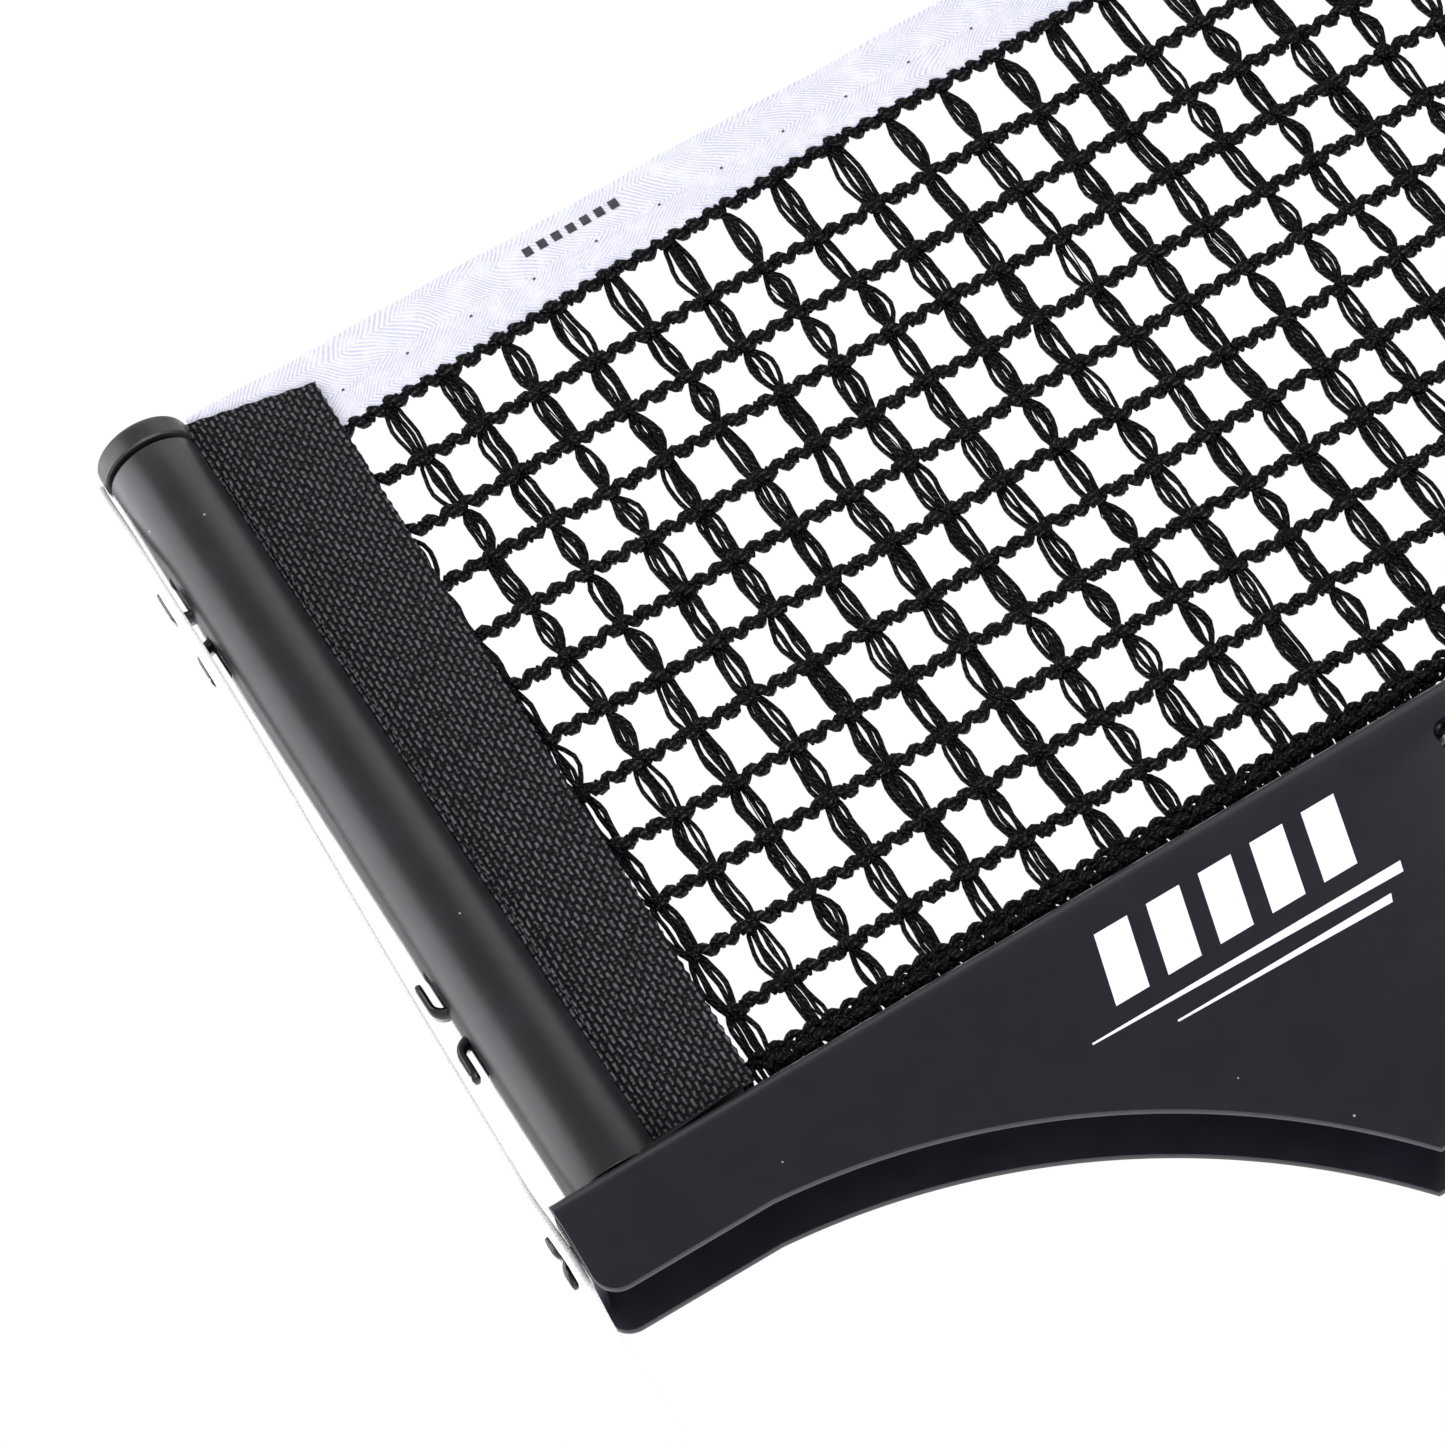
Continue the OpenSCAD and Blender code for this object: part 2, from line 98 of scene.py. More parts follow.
class Look:
    """A procedural material: a Principled shader with patterns in the piece's own coordinates."""

    def __init__(self, name, colour, roughness, **sockets):
        self.material = bpy.data.materials.new(name)
        self.material.use_nodes = True
        self.tree = self.material.node_tree
        self.shader = self.tree.nodes["Principled BSDF"]
        self.shader.inputs["Base Color"].default_value = (*colour, 1)
        self.shader.inputs["Roughness"].default_value = roughness
        for socket, value in sockets.items():
            self.shader.inputs[socket.replace("_", " ")].default_value = value
        self.place = self.node("ShaderNodeTexCoord").outputs["Object"]

    def node(self, kind, **values):
        """A new node; each value is a property, a link to a socket or a socket's constant."""
        made = self.tree.nodes.new(kind)
        for key, value in values.items():
            if hasattr(made, key):
                setattr(made, key, value)
            elif isinstance(value, bpy.types.NodeSocket):
                self.tree.links.new(value, made.inputs[key.replace("_", " ")])
            else:
                made.inputs[key.replace("_", " ")].default_value = value
        return made

    def calc(self, kind, *values):
        """The result of a Math node on sockets or constants."""
        made = self.node("ShaderNodeMath", operation=kind)
        for socket, value in zip(made.inputs, values):
            if isinstance(value, bpy.types.NodeSocket):
                self.tree.links.new(value, socket)
            else:
                socket.default_value = value
        return made.outputs[0]

    def noise(self, size, detail=3.0, stretch=(1, 1, 1)):
        scaled = self.node("ShaderNodeMapping", Scale=stretch)
        self.tree.links.new(self.place, scaled.inputs["Vector"])
        made = self.node("ShaderNodeTexNoise", Scale=1 / (size * MM), Detail=detail)
        self.tree.links.new(scaled.outputs[0], made.inputs["Vector"])
        return made.outputs["Fac"]

    def step(self, value, low, high):
        """A smooth step from 0 at low to 1 at high."""
        made = self.node("ShaderNodeMapRange", Value=value, interpolation_type="SMOOTHSTEP")
        made.inputs["From Min"].default_value = low
        made.inputs["From Max"].default_value = high
        return made.outputs["Result"]

    def wave(self, value, period):
        """A soft wave from 0 to 1 with the given period."""
        turn = self.calc("MULTIPLY", value, TAU / period)
        return self.calc("MULTIPLY_ADD", self.calc("SINE", turn), 0.5, 0.5)

    def axes(self, place=None):
        parts = self.node("ShaderNodeSeparateXYZ", Vector=place or self.place)
        return [parts.outputs[i] for i in range(3)]

    def uv(self, layer):
        return self.axes(self.node("ShaderNodeUVMap", uv_map=layer).outputs[0])[:2]

    def colour(self, mask, first, second):
        """Leads two colours, mixed by a mask, to the shader; the first may be a socket."""
        made = self.node("ShaderNodeMix", data_type="RGBA")
        for letter, value in (("A", first), ("B", second)):
            socket = next(s for s in made.inputs if s.name == letter and s.type == "RGBA")
            if isinstance(value, bpy.types.NodeSocket):
                self.tree.links.new(value, socket)
            else:
                socket.default_value = (*value, 1)
        self.tree.links.new(mask, made.inputs["Factor"])
        output = next(s for s in made.outputs if s.type == "RGBA")
        self.tree.links.new(output, self.shader.inputs["Base Color"])
        return self

    def over(self, mask, colour):
        """Lays another colour on the present one where the mask is 1."""
        return self.colour(mask, self.shader.inputs["Base Color"].links[0].from_socket, colour)

    def rough(self, mask, low, high):
        """Leads a roughness between low and high to the shader."""
        made = self.node("ShaderNodeMapRange", Value=mask)
        made.inputs["To Min"].default_value = low
        made.inputs["To Max"].default_value = high
        self.tree.links.new(made.outputs[0], self.shader.inputs["Roughness"])
        return self

    def bump(self, height, depth, strength=1.0):
        """Adds a relief, depth in millimetres, to those already there."""
        made = self.node("ShaderNodeBump", Height=height, Distance=depth * MM, Strength=strength)
        previous = self.shader.inputs["Normal"].links
        if previous:
            self.tree.links.new(previous[0].from_socket, made.inputs["Normal"])
        self.tree.links.new(made.outputs[0], self.shader.inputs["Normal"])
        return self

    def dust(self, size, amount, colour):
        """Sparse pale specks."""
        cells = self.node("ShaderNodeTexVoronoi", Scale=1 / (size * MM), Randomness=1.0)
        self.tree.links.new(self.place, cells.inputs["Vector"])
        near = self.step(cells.outputs["Distance"], 0.05, 0.02)
        chosen = self.step(self.noise(size * 1.7, 0), 1 - amount, 1 - amount + 0.02)
        return self.over(self.calc("MULTIPLY", near, chosen), colour)


def powder_coat(name, colour, pale, roughness, specular=0.5):
    look = Look(name, colour, roughness, Specular_IOR_Level=specular)
    look.colour(look.step(look.noise(9, 5), 0.35, 0.7), colour, pale)
    look.rough(look.noise(4, 4), roughness - 0.05, roughness + 0.07)
    look.bump(look.noise(0.45, 2), 0.012, 0.5)
    look.dust(5, 0.42, (0.35, 0.35, 0.36))
    return look


def zinc(name, colour, roughness):
    look = Look(name, colour, roughness, Metallic=1.0)
    look.colour(look.step(look.noise(2.5, 4), 0.3, 0.75), colour, [c * 0.72 for c in colour])
    look.rough(look.noise(0.8, 3), roughness - 0.06, roughness + 0.12)
    look.bump(look.noise(0.3, 3, (1, 1, 5)), 0.01, 0.5)
    return look


def rubber(name):
    look = Look(name, (0.02, 0.02, 0.02), 0.75)
    look.colour(look.noise(1.5, 4), (0.014, 0.014, 0.014), (0.035, 0.035, 0.034))
    look.bump(look.noise(0.25, 3), 0.03, 0.6)
    return look


def moulded(name, colour, pale, roughness):
    look = Look(name, colour, roughness)
    look.colour(look.step(look.noise(3, 5), 0.35, 0.7), colour, pale)
    look.rough(look.noise(1.2, 3), roughness - 0.07, roughness + 0.1)
    look.bump(look.noise(0.18, 2), 0.012, 0.5)
    return look


def yarn(name, colour, pale, twist):
    """Black yarn: fibres wound along it, from its UV map (u round the yarn, v along it in millimetres), with
    a painted highlight: the pale colour on the fibres' crests.
    """
    look = Look(name, colour, 0.55, Specular_IOR_Level=0.08)
    across, along = look.uv("yarn")
    fibres = look.wave(look.calc("MULTIPLY_ADD", along, twist, look.calc("MULTIPLY", across, 3)), 1.0)
    fuzz = look.noise(0.4, 3)
    mask = look.calc("MULTIPLY", look.step(fibres, 0.45, 1.0), look.step(fuzz, 0.42, 0.66))
    # painted highlight: the pale colour lies on the fibres' crests, broken up by the fuzz noise
    look.colour(mask, colour, pale)
    look.bump(fibres, 0.09, 0.8)
    look.bump(fuzz, 0.08, 0.6)
    return look


BRAID_PITCH, BRAID_ENDS = 3.2, 4


def cord_look():
    """White braid: two crossing sets of strands on the cord's UV map, with painted shade: a darker white in
    the grooves between the strands.
    """
    look = Look("cord_white", (0.9, 0.89, 0.87), 0.8, Sheen_Weight=0.2)
    look.shader.inputs["Subsurface Weight"].default_value = 0.7
    look.shader.inputs["Subsurface Radius"].default_value = (1, 1, 1)
    look.shader.inputs["Subsurface Scale"].default_value = 0.0015
    across, along = look.uv("yarn")
    round_it = look.calc("MULTIPLY", across, BRAID_ENDS)
    rise = look.calc("MULTIPLY", along, BRAID_ENDS / BRAID_PITCH)
    crossing = [look.wave(look.calc(way, round_it, rise), 1.0) for way in ("ADD", "SUBTRACT")]
    weave = look.calc("MAXIMUM", *crossing)
    # painted shade: the grooves between the strands take the darker white
    look.colour(look.step(weave, 0.4, 0.9), (0.83, 0.82, 0.8), (0.95, 0.945, 0.93))
    look.bump(weave, 0.02, 0.3)
    return look


def tape_look():
    """White herringbone tape with a line of stitches, on its UV map: u along it, v up it, in millimetres;
    painted shade darkens the grooves between the ribs to a lavender grey.
    """
    look = Look("tape_white", (0.88, 0.88, 0.95), 0.85, Sheen_Weight=0.15)
    along, height = look.uv("cloth")
    zigzag = look.calc("PINGPONG", look.calc("MULTIPLY_ADD", look.noise(14, 1), 5, height), 4.6)
    bent = look.calc("MULTIPLY_ADD", look.noise(18, 2), 6, along)
    ribs = look.wave(look.calc("MULTIPLY_ADD", zigzag, 1.25, bent), 0.86)
    fine = look.noise(0.5, 3)
    # painted shade: where the ribs dip, the grooves take the darker lavender colour, broken up by noise
    groove = look.calc("MULTIPLY", look.step(ribs, 0.62, 0.1), look.step(look.noise(3, 2), 0.2, 0.6))
    painted_light_mask = look.calc("MULTIPLY", groove, look.step(fine, 0.25, 0.5))
    look.colour(painted_light_mask, (0.79, 0.795, 0.865), (0.54, 0.55, 0.71))
    look.bump(ribs, 0.1, 0.6)
    look.bump(fine, 0.05, 0.4)
    from_seam = look.calc("ABSOLUTE", look.calc("SUBTRACT", height, 5.6))
    look.bump(look.calc("SUBTRACT", 1.0, look.step(from_seam, 0.34, 0.1)), 0.15, 0.5)
    to_stitch = look.calc("PINGPONG", look.calc("ADD", along, 3.5), 5.8)
    stitch = look.calc("MULTIPLY", look.step(to_stitch, 0.3, 0.2), look.step(from_seam, 0.26, 0.16))
    look.over(stitch, (0.05, 0.05, 0.06))
    return look


RIB, DASH = 0.93, 2.0


def sleeve_look():
    """Black coarse cloth: ribs along the post, each a chain of raised dashes, with a painted highlight in
    grey on the dashes' crowns.
    """
    look = Look("sleeve_black", (0.01, 0.01, 0.01), 0.55, Specular_IOR_Level=0.12)
    across, along = look.uv("cloth")
    wavy = look.calc("MULTIPLY_ADD", look.noise(1.1, 2), 0.55, across)
    rib = look.calc("DIVIDE", wavy, RIB)
    shift = look.calc("MULTIPLY", look.calc("PINGPONG", look.calc("FLOOR", rib), 1.0), 0.5)
    uneven = look.calc("MULTIPLY_ADD", look.noise(2, 2), 0.8, along)
    dash = look.calc("ADD", look.calc("DIVIDE", uneven, DASH), shift)
    shares = [look.calc("FRACT", value) for value in (rib, dash)]
    humps = [look.calc("SINE", look.calc("MULTIPLY", share, math.pi)) for share in shares]
    # painted highlight: the dashes' crowns take the grey colour, broken up by noise
    crown = look.calc("MULTIPLY", look.step(humps[0], 0.6, 0.98), look.step(humps[1], 0.2, 0.65))
    painted_light_mask = look.calc("MULTIPLY", crown, look.step(look.noise(0.6, 3), 0.3, 0.62))
    look.colour(painted_light_mask, (0.0005, 0.0005, 0.0009), (0.13, 0.123, 0.145))
    look.bump(look.calc("MULTIPLY", *humps), 0.3, 0.8)
    look.bump(look.noise(0.18, 3), 0.04, 0.5)
    return look


def strap_look():
    """Black elastic: ribs along the strap, with a painted highlight: a paler colour on the ribs' crests."""
    look = Look("strap_black", (0.015, 0.015, 0.016), 0.7, Sheen_Weight=0.3)
    ribs = look.wave(look.axes()[2], 1.2 * MM)
    # painted highlight: the ribs' crests take the paler colour
    look.colour(look.step(ribs, 0.3, 0.9), (0.008, 0.008, 0.009), (0.05, 0.05, 0.052))
    look.bump(ribs, 0.15, 0.6)
    look.bump(look.noise(0.3, 3), 0.06, 0.5)
    return look


steel = powder_coat("black_steel", (0.0045, 0.0052, 0.0092), (0.0065, 0.0075, 0.0122), 0.38, 0.41)
tube_steel = powder_coat("black_tube", (0.0085, 0.008, 0.0105), (0.0125, 0.0118, 0.0155), 0.36)
tongue_steel = powder_coat("black_tongue", (0.004, 0.004, 0.0045), (0.007, 0.007, 0.0075), 0.3, 0.42)
cap_plastic = moulded("black_plastic", (0.012, 0.012, 0.013), (0.026, 0.026, 0.028), 0.44)
knob_plastic = moulded("knob_black", (0.02, 0.02, 0.021), (0.035, 0.035, 0.036), 0.45)
grey_plastic = moulded("cap_grey", (0.09, 0.09, 0.095), (0.13, 0.13, 0.135), 0.4)
bright = zinc("zinc_steel", (0.62, 0.63, 0.65), 0.28)
dull = zinc("grey_steel", (0.36, 0.36, 0.37), 0.38)
black_rubber = rubber("rubber_black")
# each net yarn's second colour is its painted highlight on the fibres' crests
strand_yarn = yarn("net_black", (0.0008, 0.0008, 0.0012), (0.04, 0.04, 0.047), 0.8)
plied_yarn = yarn("net_black_plied", (0.0008, 0.0008, 0.0012), (0.05, 0.05, 0.058), 1.3)
white_cord = cord_look()
white_tape = tape_look()
black_cloth = sleeve_look()
strap_cloth = strap_look()
print_white = moulded("print_white", (0.8, 0.83, 0.93), (0.82, 0.85, 0.94), 0.5)
print_dark = moulded("print_dark", (0.03, 0.03, 0.04), (0.06, 0.06, 0.07), 0.7)
rod_white = moulded("rod_white", (0.78, 0.78, 0.76), (0.85, 0.85, 0.83), 0.4)

for nodes, look in (
    (["clamp_frame", "arm_bracket"], steel),
    (["post_tube"], tube_steel),
    (["post_cap"], cap_plastic),
    (["clamp_knob"], knob_plastic),
    (["knob_cap"], grey_plastic),
    (["sleeve_rod"], rod_white),
    (["jaw_pad", "edge_pad", "pad_rubber"], black_rubber),
    (["post_plug", "height_wheel", "wheel_pin", "screw_clip", "knob_pin"], dull),
    (
        ["post_washer", "post_screw", "guide_rivets", "screw_saddle", "height_screw"]
        + ["height_nut", "clamp_nut", "pad_cup", "clamp_screw"],
        bright,
    ),
):
    for node in nodes:
        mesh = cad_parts[node].data
        mesh.materials.clear()
        mesh.materials.append(look.material)


# ---- mesh helpers ----


class Shape:
    """Collects points and faces of one piece."""

    def __init__(self):
        self.points, self.faces, self.marks = [], [], []

    def grid(self, rows, closed=False, marks=None):
        """Faces between rows of points; closed joins each row's ends, marks gives the (u, v) of a point."""
        first, width = len(self.points), len(rows[0])
        self.points += [point for row in rows for point in row]
        for r in range(len(rows) - 1):
            for c in range(width if closed else width - 1):
                ring = [(r, c), (r, c + 1), (r + 1, c + 1), (r + 1, c)]
                self.faces.append([first + i * width + j % width for i, j in ring])
                self.marks.append([marks(i, j) for i, j in ring] if marks else [(0, 0)] * 4)
        return first

    def lid(self, indices, flip=False):
        """One face over the points with these numbers."""
        self.faces.append(list(indices)[::-1] if flip else list(indices))
        self.marks.append([(0, 0)] * len(self.faces[-1]))

    def tube(self, path, radius, sides=6):
        """A round tube with closed ends along a path; radius is a number or a function of ring and angle."""
        side = Vector((0.3, 1, 0.2))
        rows, lengths, length = [], [], 0.0
        for i, centre in enumerate(path):
            ahead = (path[min(i + 1, len(path) - 1)] - path[max(i - 1, 0)]).normalized()
            side = (side - ahead * side.dot(ahead)).normalized()
            other = ahead.cross(side)
            length += (centre - path[i - 1]).length if i else 0
            lengths.append(length)
            row = []
            for angle in (TAU * k / sides for k in range(sides)):
                r = radius(i, angle) if callable(radius) else radius
                row.append(centre + side * (r * math.cos(angle)) + other * (r * math.sin(angle)))
            rows.append(row)
        first = self.grid(rows, True, lambda i, j: (j / sides, lengths[i]))
        self.lid(range(first, first + sides), True)
        self.lid(range(len(self.points) - sides, len(self.points)))

    def lathe(self, outline, centre, sides, closed=False):
        """Turns an outline of (radius, z) about a vertical axis."""
        turn = [Vector((math.cos(a), math.sin(a), 0)) for a in (TAU * k / sides for k in range(sides))]
        ring = outline + (outline[:1] if closed else [])
        self.grid([[Vector(centre) + out * r + Vector((0, 0, z)) for out in turn] for r, z in ring], True)

    def outline(self, loops, place):
        """A flat face with holes: loops of 2-D points, each placed in space by a function."""
        work = bmesh.new()
        for loop in loops:
            made = [work.verts.new((u, v, 0)) for u, v in loop]
            for a, b in zip(made, made[1:] + made[:1]):
                work.edges.new((a, b))
        bmesh.ops.triangle_fill(work, use_beauty=True, edges=work.edges[:], normal=(0, 0, 1))
        work.verts.index_update()
        first = len(self.points)
        self.points += [Vector(place(v.co.x, v.co.y)) for v in work.verts]
        for face in work.faces:
            self.lid([first + v.index for v in face.verts])
        work.free()

    def piece(
        self, name, look, body, nodes=(), layer=None, weld=0, angle=35, thick=0, bevel=0, flip=False
    ):
        """Makes the piece.

        nodes are the CAD nodes it stands for, layer is its UV map's name and angle its sharpest smooth edge.
        weld, thick and bevel are in millimetres.
        """
        mesh = bpy.data.meshes.new(name)
        mesh.from_pydata([at(*p) for p in self.points], [], self.faces)
        if layer:
            uvs = mesh.uv_layers.new(name=layer)
            for i, mark in enumerate(m for face in self.marks for m in face):
                uvs.data[i].uv = mark
        work = bmesh.new()
        work.from_mesh(mesh)
        if weld:
            bmesh.ops.remove_doubles(work, verts=work.verts[:], dist=weld * MM)
            bmesh.ops.recalc_face_normals(work, faces=work.faces[:])
        if flip:
            bmesh.ops.reverse_faces(work, faces=work.faces[:])
        work.to_mesh(mesh)
        work.free()
        obj = bpy.data.objects.new(name, mesh)
        bpy.context.scene.collection.objects.link(obj)
        if thick:
            solid = obj.modifiers.new("thickness", "SOLIDIFY")
            solid.thickness = thick * MM
            solid.offset = -1
            solid.use_even_offset = True
        if bevel:
            edge = obj.modifiers.new("edges", "BEVEL")
            edge.width = bevel * MM
            edge.segments = 3
            edge.limit_method = "ANGLE"
            edge.angle_limit = math.radians(40)
            edge.use_clamp_overlap = True
        if thick or bevel:
            ready = obj.evaluated_get(bpy.context.evaluated_depsgraph_get())
            finished = bpy.data.meshes.new_from_object(ready)
            obj.modifiers.clear()
            obj.data = finished
        obj.data.materials.clear()
        obj.data.materials.append(look.material)
        obj.data.shade_smooth()
        obj.data.set_sharp_from_angle(angle=math.radians(angle))
        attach(obj, body)
        if nodes:
            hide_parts(*nodes)
        return obj


def arc(cx, cy, r, start, end, steps):
    """Points on a circle, angles in degrees."""
    angles = (math.radians(start + (end - start) * i / steps) for i in range(steps + 1))
    return [(cx + r * math.cos(a), cy + r * math.sin(a)) for a in angles]


def rounded(x0, z0, x1, z1, r):
    """A rectangle with round corners."""
    corners = [(x1 - r, z1 - r), (x0 + r, z1 - r), (x0 + r, z0 + r), (x1 - r, z0 + r)]
    return [spot for i, (x, z) in enumerate(corners) for spot in arc(x, z, r, 90 * i, 90 * i + 90, 6)]


# ---- tension cord ----

CORD_D, CORD_STEP = 1.7, 0.3
cord_route = [
    (-8.6, 1.8, 146.4), (-8.8, 1.0, 142.6), (-8.9, -1.0, 135), (-9.2, -2.8, 126), (-9.3, -3.0, 118),
    (-9.3, -3.0, 109), (-9.5, -2.9, 98), (-10.0, -2.6, 82), (-10.6, -1.9, 64), (-11.2, -1.3, 46),
    (-11.6, -0.9, 30), (-12.0, -0.9, 14), (-12.2, -1.6, 5), (-12.1, -2.9, -0.5), (-12.05, -4.2, -5),
    (-12.0, -4.7, -8.5), (-12.15, -4.2, -13), (-12.5, -2.3, -20), (-12.0, -0.2, -29), (-11.1, 1.2, -42),
    (-10.4, 1.9, -57), (-10.0, 2.2, -76),
]


def along_route(route, per_span):
    """A Catmull-Rom curve through the route's points."""
    p = [Vector(q) for q in route]
    path = []
    for a, b, c, d in zip(p[:1] + p, p, p[1:], p[2:] + p[-1:]):
        square, cube = 2 * a - 5 * b + 4 * c - d, 3 * b - a - 3 * c + d
        for t in (j / per_span for j in range(per_span)):
            path.append(0.5 * (2 * b + (c - a) * t + square * t**2 + cube * t**3))
    return path + [p[-1]]


def length_of(path):
    return sum((b - a).length for a, b in zip(path, path[1:]))


def even(path, step):
    """The same curve with its points a fixed distance apart."""
    total = length_of(path)
    count = round(total / step)
    made, i, gone = [path[0]], 0, 0.0
    for k in range(1, count):
        want = total * k / count
        while gone + (path[i + 1] - path[i]).length < want:
            gone += (path[i + 1] - path[i]).length
            i += 1
        span = path[i + 1] - path[i]
        made.append(path[i] + span * ((want - gone) / span.length))
    return made + [path[-1]]


def braid(i, angle):
    """The braid's strands stand out of the cord in two crossing sets."""
    rise = TAU * BRAID_ENDS * i * CORD_STEP / BRAID_PITCH
    return CORD_D / 2 * (0.98 + 0.02 * max(math.sin(BRAID_ENDS * angle + way * rise) for way in (1, -1)))


cord_path = even(along_route(cord_route, 12), CORD_STEP)
shape = Shape()
shape.tube(cord_path, braid, 16)
cord = shape.piece("cord", white_cord, "arm", ["tension_cord"], "yarn")

end = Vector(cord_route[-1])
loop = []
for a in (TAU * i / 60 for i in range(61)):
    swell = 1 + 0.35 * math.cos(3 * a)
    loop.append(end + Vector((math.cos(2 * a) * swell, 0.9 * math.sin(2 * a), -1.9 + 0.8 * math.sin(3 * a))))
tail = [end + Vector((0, 0, -0.2 - 0.4 * i)) for i in range(9)]
shape = Shape()
shape.tube(loop, CORD_D / 2 * 0.8, 12)
shape.tube(tail, lambda i, a: CORD_D / 2 * (1 + 0.12 * math.sin(3 * a + i)), 12)
knot = shape.piece("knot", white_cord, "arm", ["cord_knot"], "yarn")


# ---- arm ----

SHEET = 1.5
END_X, WEB_END, FLANGE_END = -11.1, 149.0, 151.8
HALF_W, FOLD = 8.5, 2.4
CHEEK_X = END_X + 0.12
END_Z, LEG_Z = -17.2, -61.7
ARCH_X, ARCH_Z, ARCH_R, ARCH_FROM = 4.3, -136.2, 119.5, 15.8
END_R, LEG_R = 3.9, 6
TAB_HALF, TAB_Z = 6.9, -12.5
WINDOW = (133.5, -22.2, 145.7, -5.8)


def flange_outline():
    """The side plate below its fold, as (x, z), from its upper outer corner."""
    left = END_X - 0.1
    start = math.degrees(math.atan2(END_Z - ARCH_Z, ARCH_FROM - ARCH_X))
    stop = math.degrees(math.asin((LEG_Z - ARCH_Z) / ARCH_R))
    return (
        [(CHEEK_X, -FOLD), (CHEEK_X + 0.06, -4.5), (CHEEK_X, -7), (CHEEK_X - 0.1, -9.5), (left + 0.05, -12)]
        + arc(left + END_R, END_Z + END_R, END_R, 180, 270, 10)
        + arc(ARCH_X, ARCH_Z, ARCH_R, start, stop, 60)
        + arc(FLANGE_END - LEG_R, LEG_Z + LEG_R, LEG_R, 270, 360, 10)
        + [(FLANGE_END, -FOLD), (WEB_END, -FOLD), (CHEEK_X + 2, -FOLD)]
    )


bracket = Shape()
window = rounded(*WINDOW, 2.2)
for side in (-1, 1):
    bracket.outline([flange_outline(), window], lambda u, v: (u, side * HALF_W, v))
    fold = [(side * (HALF_W - FOLD + c), -FOLD + s) for c, s in arc(0, 0, FOLD, 0, 90, 8)]
    bracket.grid([[Vector((x, y, z)) for y, z in fold] for x in (CHEEK_X, CHEEK_X + 2, WEB_END)])
inner = HALF_W - FOLD
bracket.grid([[Vector((x, y, 0)) for y in (-inner, inner)] for x in (END_X + FOLD, CHEEK_X + 2, WEB_END)])
tab_fold = arc(END_X + FOLD, -FOLD, FOLD, 90, 180, 8)
bracket.grid([[Vector((x, y, z)) for y in (-inner, inner)] for x, z in tab_fold])
half_tab = [(inner, -FOLD), (TAB_HALF, -FOLD - 0.8), (TAB_HALF, TAB_Z)]
tab_edge = [(-y, z) for y, z in half_tab] + half_tab[::-1]
bracket.outline([tab_edge, rounded(-2.1, -11.4, 2.1, -2.7, 1.6)], lambda u, v: (END_X, u, v))
bracket.piece("bracket", steel, "arm", ["arm_bracket"], weld=0.02, thick=SHEET, bevel=0.2)


def tongue(shape, face, root, way, reach, length, width, thick=1.15):
    """A tongue punched out of a wall at x = -face: from its root it bends out and runs along the wall."""
    bend_rise = 1.9
    bend = [math.pi / 2 * i / 8 for i in range(9)]
    profile = [(-0.3, -0.1)] + [(math.sin(t), bend_rise * (1 - math.cos(t))) for t in bend]
    profile += [(1, length - left) for left in (1.8, 1.2, 0.7, 0.35, 0.12, 0)]
    sections = []
    for i, (out, rise) in enumerate(profile):
        (out_a, rise_a), (out_b, rise_b) = profile[max(i - 1, 0)], profile[min(i + 1, len(profile) - 1)]
        ahead = Vector(((out_b - out_a) * reach, rise_b - rise_a)).normalized()
        left = max(length - rise, 0)
        half = width / 2 * math.sqrt(1 - max(0.0, 1 - left * 2 / width) ** 2 * 0.75)
        thin = thick / 2 * math.sqrt(1 - max(0.0, 1 - left / 0.5) ** 2 * 0.7)
        middle = Vector((face - thick / 2 + reach * out, rise))
        section = []
        for c, s in arc(0, 0, 1, 0, 315, 7):
            across, deep = half * math.copysign(abs(c) ** 0.5, c), thin * math.copysign(abs(s) ** 0.6, s)
            spot = middle + Vector((ahead.y, -ahead.x)) * deep
            section.append(Vector((-spot.x, across, root + way * spot.y)))
        sections.append(section)
    first = shape.grid(sections, True)
    shape.lid(range(first, first + 8), True)
    shape.lid(range(len(shape.points) - 8, len(shape.points)))


hooks = Shape()
for root, way, reach, length in ((-5.3, 1, 2.3, 4.0), (-5.7, -1, 2.5, 4.2)):
    tongue(hooks, -END_X, root, way, reach, length, 3.5)
hooks.piece("bracket_tongues", tongue_steel, "arm", weld=0.01, angle=60)

# the printed motif: a plain row of slanted bars over two straight tapering lines
motif = Shape()
BAR_W, BAR_GAP, BAR_SLANT = 5.6, 3.2, 3.4
BAR_FOOT, BAR_HEAD = -18.6, -7.4
prints = []
for x0 in (72.0 + (BAR_W + BAR_GAP) * i for i in range(5)):
    x1 = x0 + BAR_SLANT
    prints.append([(x0, BAR_FOOT), (x0 + BAR_W, BAR_FOOT), (x1 + BAR_W, BAR_HEAD), (x1, BAR_HEAD)])
for x0, x1, z, depth in ((66.0, 117.5, -21.6, 1.7), (78.0, 113.5, -25.2, 1.3)):
    prints.append([(x0, z - 0.3), (x1, z - depth), (x1 + 0.6, z), (x0, z)])
for spots in prints:
    motif.outline([spots], lambda u, v: (u, -HALF_W - 0.02, v))
motif.piece("printed_motif", print_white, "arm", thick=0.03)


# ---- post ----

